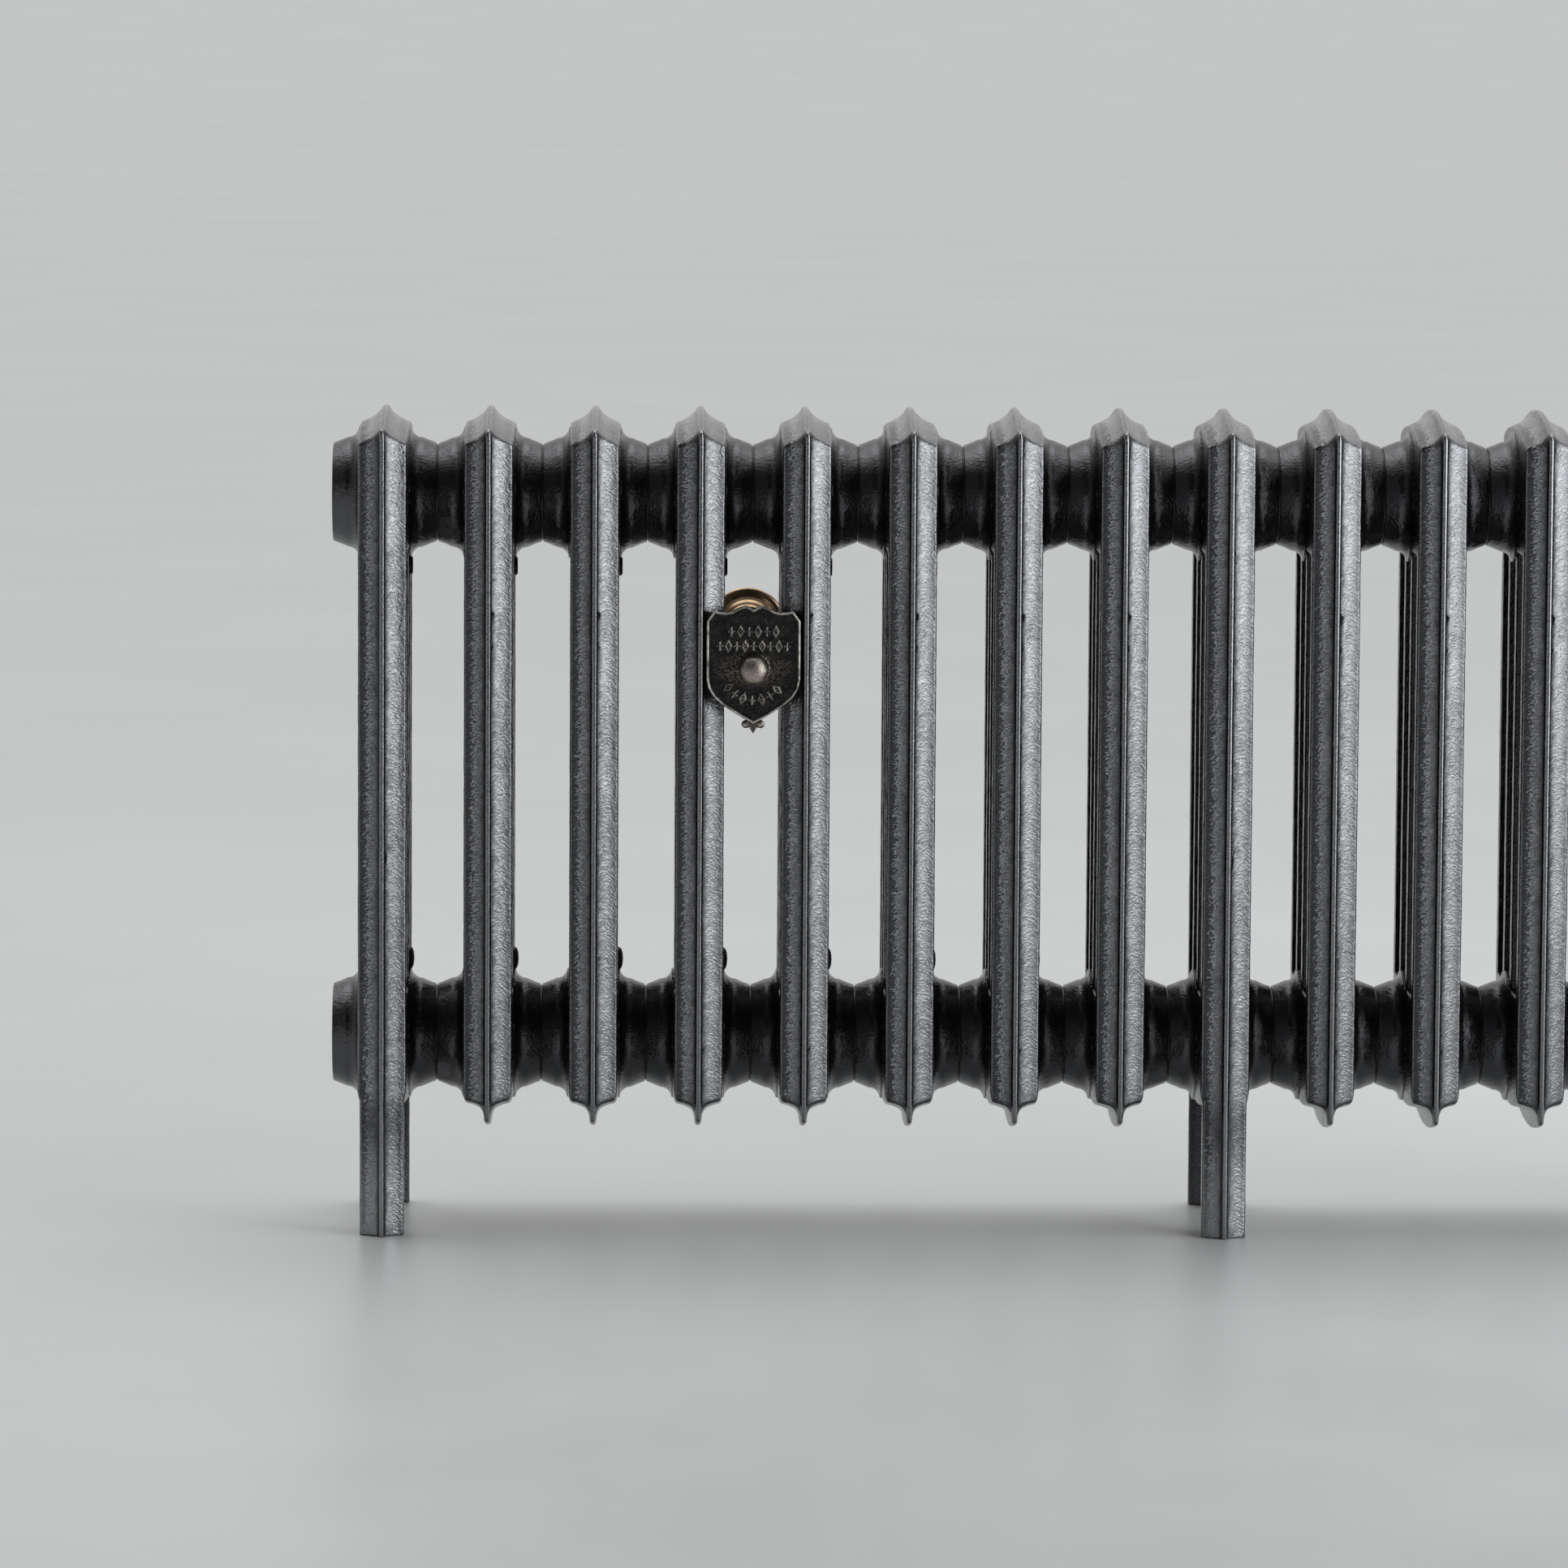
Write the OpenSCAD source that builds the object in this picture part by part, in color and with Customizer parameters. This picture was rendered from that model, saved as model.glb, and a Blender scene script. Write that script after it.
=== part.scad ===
// Cast iron column radiator, seventeen sections long, with two stays to the wall.
// X runs along the radiator, the front faces -Y and Z is up.
// The origin is on the floor at mid-length, midway between the front of the stay nuts and the wall.

/* [Section] */
// Distance from one section's centre to the next
section_pitch = 60; // [52:1:80]
// Depth of a section over the ribs of its front and rear columns
section_depth = 144; // [136:2:160]
// Height of the crest above the floor
crest_z = 469; // [440:1:520]
// Height of the keel, the lowest line of a section that has no legs
keel_z = 57; // [50:1:62]
// Width of a column, which is also its depth
column_w = 28; // [26:0.5:30]
// Angle between a column's front facets and the radiator's front
facet_angle = 30.5; // [26:0.5:36]
// Width of a leg
leg_w = 25.2; // [22:0.2:26]
// Width of a section across its headers, between the hubs
header_w = 30.6; // [29:0.2:34]

/* [Hubs] */
// Height of the upper hubs' axis
top_hub_z = 419.5; // [400:0.5:430]
// Height of the lower hubs' axis
bottom_hub_z = 108; // [100:0.5:120]
// Radius of a hub at its machined face
hub_r = 28; // [27:0.5:30]
// Radius of the hub's threaded mouth
hub_thread_r = 21; // [18:0.5:22]
// Thickness of the gasket in each seam
gasket_t = 0.8; // [0.4:0.1:1.5]

/* [Wall stay] */
// Height of the stays above the floor
stay_z = 325; // [280:1:345]
// Distance from the front ribs to the wall
wall_distance = 273; // [200:1:400]
// Radius of the stay rod
rod_r = 5; // [4:0.5:6]
// Width of the shield plate
shield_w = 53.2; // [50:0.2:54]
// Thickness of the shield plate, its rim included
shield_t = 3.6; // [3:0.1:5]
// Height of the domed nut
nut_h = 8.4; // [8:0.2:12]
// Radius of the rosette on the wall
rosette_r = 23; // [18:0.5:30]

/* [Valves and vent] */
// Radius of the thread in the flow and return bushes
valve_thread_r = 9.5; // [8:0.5:12]
// Radius of the air vent's body
vent_r = 4.8; // [4:0.2:6]

/* [Hidden] */
section_count = 17;
leg_sections = [1, 9, 17];
stay_gaps = [4, 13];

function section_name(k) = str("section_", k < 10 ? "0" : "", k);

$fn = 64;
running_gap = 0.05;
thread_gap = 0.1;
body_gap = 0.3;
bearing_gap = 0.2;

// Places in the radiator's own frame, where Y = 0 is the middle of its depth
front_y = -section_depth / 2;
wall_y = front_y + wall_distance;
column_y = section_depth / 2 - column_w / 2;
column_step = 2 * column_y / 3;
hub_face_x = section_pitch / 2 - gasket_t / 2;
end_x = (section_count - 1) / 2 * section_pitch + hub_face_x;
shield_back_y = front_y + 3;
shield_front_y = shield_back_y - shield_t;
nut_base_y = shield_front_y - bearing_gap;
nut_front_y = nut_base_y - nut_h;
frame_y = -(nut_front_y + wall_y) / 2;

// Roof and keel: rings turned about level axes that run along X
arch_rise = 9.5;
arch_r = (pow(section_depth / 2, 2) + pow(arch_rise, 2)) / (2 * arch_rise);
roof_axis_z = crest_z - arch_r;
keel_axis_z = keel_z + arch_r;

iron = [0.30, 0.31, 0.33];
black_iron = [0.09, 0.09, 0.10];
steel = [0.55, 0.56, 0.58];
brass = [0.66, 0.50, 0.28];
old_brass = [0.45, 0.35, 0.22];
dark_plate = [0.16, 0.15, 0.14];
gasket_grey = [0.12, 0.12, 0.12];

function section_x(k) = (k - (section_count + 1) / 2) * section_pitch;
function stay_x(i) = (section_x(stay_gaps[i]) + section_x(stay_gaps[i] + 1)) / 2;
function has_legs(k) = len(search(k, leg_sections)) > 0;

// Points between two ends of a shallow arc that bows to the left of the way it runs
function bowed(a, b, sag, steps) = [
    for (i = [1 : steps - 1])
        let (t = i / steps, d = b - a, n = [-d[1], d[0]] / norm(d))
            a + d * t + n * sag * 4 * t * (1 - t)
];

// One quarter of a column's outline: from the middle of its rib to the middle of its side bead
function column_quarter(w) = let (
    h = w / 2,
    rib = [1.5, -h + 0.5],
    foot = [2.0, -h + 2.4],
    bead = [h - 1.8, foot[1] + (h - 1.8 - foot[0]) * tan(facet_angle)]
) concat(
    [[0, -h], rib, foot],
    bowed(foot, bead, 0.55, 6),
    [bead, [h - 0.4, bead[1] + 0.5], [h, bead[1] + 1.4]]
);

function mirrored_points(points) = [for (i = [len(points) - 1 : -1 : 0]) [-points[i][0], points[i][1]]];
function flipped_points(points) = [for (i = [len(points) - 1 : -1 : 0]) [points[i][0], -points[i][1]]];

function column_outline(w) = let (
    quarter = column_quarter(w),
    right = concat(quarter, flipped_points(quarter)),
    inner = [for (i = [1 : len(right) - 2]) right[i]]
) concat(right, mirrored_points(inner));

// Half of the gable, as [distance from the middle, drop below the crest]
roof_half = [
    [0, 0], [1.3, 0.3], [2.3, 1.6], [3.8, 3.7], [6, 5.7], [9, 7.7], [12.6, 9.2],
    [14.2, 10.0], [15, 11], [header_w / 2, 12.6]
];
// Half of the keel, as [distance from the middle, rise above its tip]
keel_half = [
    [0, 0], [0.9, 0.5], [1.3, 2.4], [1.9, 6.0], [3.2, 8.6], [5.2, 10.3], [8.5, 11.7],
    [12.3, 12.7], [13.4, 14.2], [14.6, 16.6], [header_w / 2, 18.4]
];

// Everything is drawn in the radiator's own frame and moved here to the part's
module placed() {
    translate([0, frame_y, 0])
        children();
}

// A cylinder along +X, starting at the given x
module along_x(r, x, length) {
    translate([x, 0, 0])
        rotate([0, 90, 0])
            cylinder(r = r, h = length);
}

// A cylinder along +Y, starting at the given y
module along_y(r, y, length) {
    translate([0, y, 0])
        rotate([-90, 0, 0])
            cylinder(r = r, h = length);
}

// A disc as thick as a header, whose rim carries the gable or the keel
module profiled_disc(half) {
    rim = [for (p = half) [arch_r - p[1], p[0]]];
    rotate([0, 90, 0])
        rotate_extrude($fn = 180)
            polygon(concat(
                [[0, -header_w / 2]],
                [for (i = [len(rim) - 1 : -1 : 1]) [rim[i][0], -rim[i][1]]],
                rim,
                [[0, header_w / 2]]
            ));
}

// ---- Sections ----

module column(w, y, z0, z1) {
    translate([0, y, z0])
        linear_extrude(z1 - z0)
            polygon(column_outline(w));
}

module columns() {
    for (i = [0 : 3])
        column(column_w, -column_y + i * column_step, keel_z, crest_z);
}

// The box that joins the columns at top or bottom, a little wider than they are at mid-depth
module header(z0, z1) {
    side = column_w / 2;
    shoulder_y = column_y - 12;
    translate([0, 0, z0])
        linear_extrude(z1 - z0)
            polygon([
                [-side, -column_y], [side, -column_y],
                [header_w / 2, -shoulder_y], [header_w / 2, shoulder_y],
                [side, column_y], [-side, column_y],
                [-header_w / 2, shoulder_y], [-header_w / 2, -shoulder_y]
            ]);
}

// A web in the gap between two columns, closing it down or up to an arch
module web(y, z0, z1, arch_z) {
    gap = column_step - column_w + 8;
    difference() {
        translate([-8, y - gap / 2, z0])
            cube([16, gap, z1 - z0]);
        translate([0, y, arch_z])
            along_x(gap / 2 - 3.2, -9, 18);
    }
}

module webs() {
    for (i = [-1 : 1]) {
        web(i * column_step, 371, 392, 371);
        web(i * column_step, 136, 157, 157);
    }
}

// A hub on each side of the section: a cone off the machined face, then a fillet into the header
module hub() {
    face = hub_face_x;
    root_x = header_w / 2;
    fillet = [for (a = [0 : 15 : 90]) [hub_r + 9.6 - 6.2 * sin(a), root_x - 0.2 + 6.2 * (1 - cos(a))]];
    half = concat(
        [[hub_r, face], [hub_r + 2.2, face - 5.5], [hub_r + 3.4, root_x + 6]],
        [for (i = [len(fillet) - 1 : -1 : 0]) fillet[i]]
    );
    rotate([0, 90, 0])
        rotate_extrude($fn = 96)
            polygon(concat([[0, face]], half, [for (p = flipped_points(half)) p], [[0, -face]]));
}

// The water way: a threaded mouth at each face, a channel in each column and a cross channel at the hubs
module hub_bore() {
    mouth = 16;
    rotate([0, 90, 0])
        translate([0, 0, -section_pitch / 2])
            cylinder(r = hub_thread_r - 4, h = section_pitch);
    along_x(hub_thread_r, -section_pitch / 2, section_pitch / 2 - hub_face_x + mouth);
    along_x(hub_thread_r, hub_face_x - mouth, mouth + 1);
}

channel_w = 12;
cross_channel_r = 9;
channel_overrun = 1.5;

module cross_channel() {
    reach = column_y + channel_overrun;
    along_y(cross_channel_r, -reach, 2 * reach);
}

// Each column's channel stops just inside the cross channels
module column_channels() {
    z0 = bottom_hub_z + channel_overrun;
    for (i = [0 : 3])
        translate([0, -column_y + i * column_step, z0])
            rotate([0, 0, 45])
                translate([-channel_w / 2, -channel_w / 2, 0])
                    cube([channel_w, channel_w, top_hub_z - channel_overrun - z0]);
}

module leg(y, z1) {
    column(leg_w, y, 0, z1);
}

module core_bosses() {
    translate([0, 0, core_top_z])
        along_x(7.5, -core_boss_back, core_boss_back + core_boss_x);
    translate([0, 0, core_bottom_z])
        along_x(8, -core_boss_back, core_boss_back + core_boss_x);
}

module section_casting(k) {
    leg_y = section_depth / 2 - leg_w / 2;
    difference() {
        union() {
            intersection() {
                union() {
                    columns();
                    header(390, crest_z);
                    header(keel_z, 137);
                    webs();
                }
                translate([0, 0, roof_axis_z])
                    profiled_disc(roof_half);
                translate([0, 0, keel_axis_z])
                    profiled_disc(keel_half);
            }
            if (has_legs(k)) {
                leg(-leg_y, bottom_hub_z - 10);
                leg(leg_y, bottom_hub_z - 10);
            }
            core_bosses();
            translate([0, 0, top_hub_z])
                hub();
            translate([0, 0, bottom_hub_z])
                hub();
        }
        translate([0, 0, top_hub_z])
            hub_bore();
        translate([0, 0, bottom_hub_z])
            hub_bore();
        translate([0, 0, top_hub_z])
            cross_channel();
        translate([0, 0, bottom_hub_z])
            cross_channel();
        column_channels();
        core_holes();
    }
}

module section(k) {
    color(iron)
        placed()
            translate([section_x(k), 0, 0])
                section_casting(k);
}

// ---- Core-hole plugs ----

core_top_z = 377.5;
core_bottom_z = 151;
core_boss_x = column_w / 2 - 0.5;
core_boss_back = 9;
core_plug_r = 4.5;
core_depth = 9;
plug_seat_x = core_boss_x - 0.2;
flat_cap_r = 5.6;
domed_cap_r = 6.8;
cap_gap = 0.3;

// The drilled hole, with a spot face that seats the plug's cap clear of the hub's fillet
module core_hole(cap_r) {
    along_x(core_plug_r, plug_seat_x - core_depth, core_depth + 1);
    along_x(cap_r + cap_gap, plug_seat_x, 4);
}

module core_holes() {
    translate([0, 0, core_top_z])
        core_hole(flat_cap_r);
    translate([0, 0, core_bottom_z])
        core_hole(domed_cap_r);
}

// A turned cap on a plain shank
module core_plug(cap_outline) {
    along_x(core_plug_r - thread_gap, plug_seat_x - core_depth + 0.5, core_depth);
    translate([plug_seat_x, 0, 0])
        rotate([0, 90, 0])
            rotate_extrude()
                polygon(cap_outline);
}

// Flat, with a chamfered edge
module flat_core_plug() {
    core_plug([[0, 0], [flat_cap_r, 0], [flat_cap_r, 1.6], [flat_cap_r - 0.9, 2.5], [0, 2.5]]);
}

// Rough and domed
module domed_core_plug() {
    core_plug([[0, 0], [domed_cap_r, 0], [6.6, 1.4], [5.6, 2.6], [3.6, 3.3], [0, 3.6]]);
}

module core_plugs_top() {
    color(black_iron)
        placed()
            for (k = [1 : section_count])
                translate([section_x(k), 0, core_top_z])
                    flat_core_plug();
}

module core_plugs_bottom() {
    color(black_iron)
        placed()
            for (k = [1 : section_count])
                translate([section_x(k), 0, core_bottom_z])
                    domed_core_plug();
}

// ---- Joints between the sections ----

module tube_x(r_out, r_in, length) {
    difference() {
        along_x(r_out, -length / 2, length);
        along_x(r_in, -length / 2 - 1, length + 2);
    }
}

// A short threaded sleeve with two inner lugs for the assembly key
module nipple() {
    tube_x(hub_thread_r - thread_gap, hub_thread_r - 4.5, 24);
    for (side = [-1, 1])
        translate([-12, -3, side * (hub_thread_r - 5.5) - 1.5])
            cube([24, 6, 3]);
}

module seam_row(z) {
    placed()
        for (k = [1 : section_count - 1])
            translate([section_x(k) + section_pitch / 2, 0, z])
                children();
}

module nipples_top() {
    color(steel)
        seam_row(top_hub_z)
            nipple();
}

module nipples_bottom() {
    color(steel)
        seam_row(bottom_hub_z)
            nipple();
}

module gasket() {
    tube_x(hub_r - 0.8, hub_thread_r + 0.4, gasket_t);
}

module gaskets_top() {
    color(gasket_grey)
        seam_row(top_hub_z)
            gasket();
}

module gaskets_bottom() {
    color(gasket_grey)
        seam_row(bottom_hub_z)
            gasket();
}

// ---- End fittings, drawn for the right-hand end with the hub's face at x = 0 ----

plug_r = hub_thread_r - thread_gap;
plug_length = 14;
plug_inset = 0.4;
seal_r = 1.0;
seal_x = -5;

module at_end(side, z) {
    placed()
        translate([side * end_x, 0, z])
            mirror([side < 0 ? 1 : 0, 0, 0])
                children();
}

// A headless plug with a groove for its sealing ring
module plug_blank() {
    groove = seal_r + 0.1;
    floor_r = plug_r - 2 * seal_r;
    rotate([0, 90, 0])
        rotate_extrude()
            polygon([
                [0, -plug_length], [plug_r, -plug_length],
                [plug_r, seal_x - groove], [floor_r, seal_x - groove],
                [floor_r, seal_x + groove], [plug_r, seal_x + groove],
                [plug_r, -plug_inset - 1], [plug_r - 1, -plug_inset], [0, -plug_inset]
            ]);
}

module hex_recess(across_corners_r, depth) {
    translate([-plug_inset - depth, 0, 0])
        rotate([0, 90, 0])
            cylinder(r = across_corners_r, h = depth + 2, $fn = 6);
}

module valve_bush() {
    difference() {
        plug_blank();
        along_x(valve_thread_r, -plug_length - 1, plug_length + 2);
        hex_recess(13.5, 3);
    }
}

module flow_bush() {
    color(black_iron)
        at_end(-1, bottom_hub_z)
            valve_bush();
}

module return_bush() {
    color(black_iron)
        at_end(1, bottom_hub_z)
            valve_bush();
}

module blank_plug() {
    color(black_iron)
        at_end(-1, top_hub_z)
            difference() {
                plug_blank();
                hex_recess(11, 7);
            }
}

// The vent sits in a pocket, so that nothing stands proud of the hub
vent_pocket = 6.5;

module vent_plug() {
    color(black_iron)
        at_end(1, top_hub_z)
            difference() {
                plug_blank();
                along_x(12, -plug_inset - vent_pocket, vent_pocket + 2);
                along_x(vent_r + thread_gap, -plug_length - 1, plug_length + 2);
            }
}

module end_seals() {
    color(gasket_grey)
        for (side = [-1, 1], z = [top_hub_z, bottom_hub_z])
            at_end(side, z)
                translate([seal_x, 0, 0])
                    rotate([0, 90, 0])
                        rotate_extrude()
                            translate([plug_r - seal_r + 0.02, 0])
                                circle(r = seal_r, $fn = 24);
}

// ---- Air vent ----

bleed_r = 2.5;
bleed_seat_x = -plug_length + 2;

module vent_body() {
    flange_x = -plug_inset - vent_pocket;
    color(brass)
        at_end(1, top_hub_z)
            difference() {
                union() {
                    along_x(vent_r, -plug_length, plug_length + flange_x);
                    translate([flange_x, 0, 0])
                        rotate([0, 90, 0])
                            cylinder(r = 8.1, h = 3, $fn = 6);
                }
                along_x(bleed_r + running_gap, bleed_seat_x, plug_length + 2);
                along_x(1.2, -plug_length - 1, 4);
                translate([flange_x + 1.5, 0, 0])
                    rotate([-90, 0, 0])
                        cylinder(r = 0.7, h = 12);
            }
}

// Round shank that closes the seat, with a square head for the bleed key
module bleed_screw() {
    head_x = -plug_inset - vent_pocket + 3.4;
    color(brass)
        at_end(1, top_hub_z) {
            along_x(bleed_r, bleed_seat_x + body_gap, head_x - bleed_seat_x - body_gap + 0.5);
            translate([head_x, -2.5, -2.5])
                cube([2.8, 5, 5]);
        }
}

// ---- Wall stays, drawn with the rod's axis on Y ----

module at_stay(i) {
    placed()
        translate([stay_x(i), 0, stay_z])
            children();
}

// Half of the shield's outline from the cusp at the top to the point at the bottom
shield_half = [
    [0, 34.2], [2, 35.6], [4.8, 36.4], [8, 35.4], [12, 33.2], [15.5, 32.4], [19, 32.7], [22.4, 33.4],
    [shield_w / 2, 27.6], [shield_w / 2, -5.5], [25.4, -11], [22.6, -15.6], [18.2, -19.6],
    [12, -23.8], [5, -28], [0, -30.8]
];
shield_rim = 1.9;

function inset_half(points, rim) = [
    for (i = [0 : len(points) - 1])
        let (
            p = points[i],
            q = points[max(i - 1, 0)],
            r = points[min(i + 1, len(points) - 1)],
            d = (r - q) / norm(r - q),
            step = i == 0 || i == len(points) - 1 ? [0, i == 0 ? -1.25 : 1.25] : [d[1], -d[0]]
        )
            p + step * rim
];

module mirrored_outline(half) {
    polygon(concat(half, [for (i = [len(half) - 2 : -1 : 1]) [-half[i][0], half[i][1]]]));
}

module shield() {
    recess = 1.4;
    difference() {
        union() {
            difference() {
                translate([0, shield_back_y, 0])
                    rotate([90, 0, 0])
                        linear_extrude(shield_t)
                            mirrored_outline(shield_half);
                translate([0, shield_front_y + recess, 0])
                    rotate([90, 0, 0])
                        linear_extrude(recess + 1)
                            mirrored_outline(inset_half(shield_half, shield_rim));
            }
            along_y(9.6, shield_front_y, shield_t);
            // Two small balls and a pendant below the point
            for (side = [-1, 1])
                translate([side * 4.2, 0, -31])
                    along_y(2.4, shield_front_y + 0.5, 3);
            translate([0, shield_back_y - 0.5, -31.5])
                rotate([90, 0, 0])
                    linear_extrude(3)
                        polygon([[-2.6, 2.5], [2.6, 2.5], [2.6, -1], [0, -5], [-2.6, -1]]);
        }
        along_y(rod_r + body_gap, shield_front_y - 1, shield_t + 2);
    }
}

module stay_shield_left() {
    color(dark_plate)
        at_stay(0)
            shield();
}

module stay_shield_right() {
    color(dark_plate)
        at_stay(1)
            shield();
}

// Low hexagon with a domed front, on a blind threaded hole
nut_bore = 6.4;

module domed_nut() {
    difference() {
        intersection() {
            translate([0, nut_base_y, 0])
                rotate([90, 0, 0])
                    cylinder(r = 9.4, h = nut_h, $fn = 6);
            translate([0, nut_base_y, 0])
                rotate([90, 0, 0])
                    rotate_extrude()
                        polygon([
                            [0, 0], [9.1, 0], [9.1, 2.6], [8.3, 4.4], [6.6, 6.4], [4.2, 7.8], [2, nut_h - 0.1], [0, nut_h]
                        ]);
        }
        along_y(rod_r + running_gap, nut_base_y - nut_bore, nut_bore + 1);
    }
}

module stay_nut_left() {
    color(dark_plate)
        at_stay(0)
            domed_nut();
}

module stay_nut_right() {
    color(dark_plate)
        at_stay(1)
            domed_nut();
}

rosette_depth = 15;
collar_length = 9;
rod_socket = 8;

module rod() {
    start = nut_base_y - nut_bore + body_gap;
    along_y(rod_r, start, wall_y - rosette_depth + rod_socket - start);
}

module stay_rod_left() {
    color(steel)
        at_stay(0)
            rod();
}

module stay_rod_right() {
    color(steel)
        at_stay(1)
            rod();
}

// A faceted lock ring that closes the rod against the rosette
module collar() {
    difference() {
        translate([0, wall_y - rosette_depth, 0])
            rotate([90, 0, 0])
                intersection() {
                    cylinder(r = 12, h = collar_length, $fn = 12);
                    rotate_extrude()
                        polygon([[0, 0], [12, 0], [12, 6.8], [9.8, collar_length], [0, collar_length]]);
                }
        along_y(rod_r + thread_gap, wall_y - rosette_depth - collar_length - 1, collar_length + 2);
    }
}

module stay_collar_left() {
    color(black_iron)
        at_stay(0)
            collar();
}

module stay_collar_right() {
    color(black_iron)
        at_stay(1)
            collar();
}

// A turned rose: flat back, thin rim, hollow sweep up to the neck
wall_thread_r = 4;
wall_thread_length = 6;

module rosette() {
    sweep = [for (a = [0 : 15 : 90]) [14 + 7.6 * (1 - sin(a)), 3.2 + 8.6 * (1 - cos(a))]];
    difference() {
        translate([0, wall_y, 0])
            rotate([90, 0, 0])
                rotate_extrude()
                    polygon(concat(
                        [[0, 0], [rosette_r, 0], [rosette_r, 1.8], [rosette_r - 0.5, 2.6]],
                        sweep,
                        [[14, 13.6], [13, rosette_depth], [0, rosette_depth]]
                    ));
        along_y(rod_r + thread_gap, wall_y - rosette_depth - 1, rod_socket + 1);
        along_y(wall_thread_r, wall_y - wall_thread_length, wall_thread_length + 1);
    }
}

module stay_rosette_left() {
    color(old_brass)
        at_stay(0)
            rosette();
}

module stay_rosette_right() {
    color(old_brass)
        at_stay(1)
            rosette();
}

for (k = [1 : section_count])
    section(k);
core_plugs_top();
core_plugs_bottom();
nipples_top();
nipples_bottom();
gaskets_top();
gaskets_bottom();
flow_bush();
return_bush();
blank_plug();
vent_plug();
end_seals();
vent_body();
bleed_screw();
stay_shield_left();
stay_shield_right();
stay_nut_left();
stay_nut_right();
stay_rod_left();
stay_rod_right();
stay_collar_left();
stay_collar_right();
stay_rosette_left();
stay_rosette_right();
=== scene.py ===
import math

import bpy
import numpy as np
from mathutils import Matrix, Vector


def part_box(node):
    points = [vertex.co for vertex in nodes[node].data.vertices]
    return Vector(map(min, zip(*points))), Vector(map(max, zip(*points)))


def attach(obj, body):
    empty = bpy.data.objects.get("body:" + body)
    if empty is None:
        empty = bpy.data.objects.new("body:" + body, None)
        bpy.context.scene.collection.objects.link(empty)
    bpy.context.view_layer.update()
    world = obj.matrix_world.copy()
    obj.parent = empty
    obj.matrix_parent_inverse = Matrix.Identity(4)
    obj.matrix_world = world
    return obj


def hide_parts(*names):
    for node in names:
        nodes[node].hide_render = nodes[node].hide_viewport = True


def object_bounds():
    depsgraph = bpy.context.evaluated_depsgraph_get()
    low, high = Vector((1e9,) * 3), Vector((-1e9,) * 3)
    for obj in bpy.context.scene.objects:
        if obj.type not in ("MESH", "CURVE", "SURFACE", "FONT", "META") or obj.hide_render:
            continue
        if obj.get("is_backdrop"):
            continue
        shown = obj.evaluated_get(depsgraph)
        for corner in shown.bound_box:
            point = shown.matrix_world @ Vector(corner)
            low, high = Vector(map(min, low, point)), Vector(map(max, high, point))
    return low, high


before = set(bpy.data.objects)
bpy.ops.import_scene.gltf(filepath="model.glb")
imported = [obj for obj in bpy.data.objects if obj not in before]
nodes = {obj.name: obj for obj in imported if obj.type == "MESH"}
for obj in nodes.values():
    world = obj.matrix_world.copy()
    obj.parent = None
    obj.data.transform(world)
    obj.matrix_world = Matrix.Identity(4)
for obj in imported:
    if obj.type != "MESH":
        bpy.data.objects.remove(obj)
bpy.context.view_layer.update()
MM = 0.001

# ---------------------------------------------------------------- sizes, all in mm, measured from the frame


def box_mm(name):
    lo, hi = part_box(name)
    return np.array(lo) * 1000, np.array(hi) * 1000


SECTIONS = [n for n in sorted(nodes) if n.startswith("section_")]
plain_lo, plain_hi = box_mm("section_02")
MID_Y = float(plain_lo[1] + plain_hi[1]) / 2
DEPTH = float(plain_hi[1] - plain_lo[1]) / 2
CREST, KEEL = float(plain_hi[2]), float(plain_lo[2])
HUB_FACE = float(plain_hi[0] - plain_lo[0]) / 2
plug_lo, plug_hi = box_mm("blank_plug")
bush_lo, bush_hi = box_mm("flow_bush")
TOP_HUB = float(plug_lo[2] + plug_hi[2]) / 2
LOW_HUB = float(bush_lo[2] + bush_hi[2]) / 2
THREAD_R = float(plug_hi[2] - plug_lo[2]) / 2 + 0.1
COL_W, LEG_W, HEAD_W = 28.0, 25.2, 30.6
FACET_ANGLE = 30.5
COL_Y = DEPTH - COL_W / 2
COL_STEP = 2 * COL_Y / 3
INNER_Y = COL_STEP / 2
LEG_Y = DEPTH - LEG_W / 2
ARCH_RISE = 9.5
ARCH_R = (DEPTH ** 2 + ARCH_RISE ** 2) / (2 * ARCH_RISE)
HUB_R = 28.0

# ---------------------------------------------------------------- distance fields


def smin(a, b, k):
    h = np.clip(0.5 + 0.5 * (b - a) / k, 0, 1)
    return b + (a - b) * h - k * h * (1 - h)


def smax(a, b, k):
    return -smin(-a, -b, k)


def polygon_distance(px, py, verts):
    d = np.full(px.shape, 1e18)
    inside = np.zeros(px.shape, bool)
    n = len(verts)
    for i in range(n):
        ax, ay = verts[i]
        bx, by = verts[(i + 1) % n]
        ex, ey = bx - ax, by - ay
        if ex == 0 and ey == 0:
            continue
        wx, wy = px - ax, py - ay
        t = np.clip((wx * ex + wy * ey) / (ex * ex + ey * ey), 0, 1)
        d = np.minimum(d, (wx - ex * t) ** 2 + (wy - ey * t) ** 2)
        if ay != by:
            cross = ((ay > py) != (by > py)) & (px < (bx - ax) * (py - ay) / (by - ay) + ax)
            inside ^= cross
    return np.where(inside, -1.0, 1.0) * np.sqrt(d)


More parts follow.
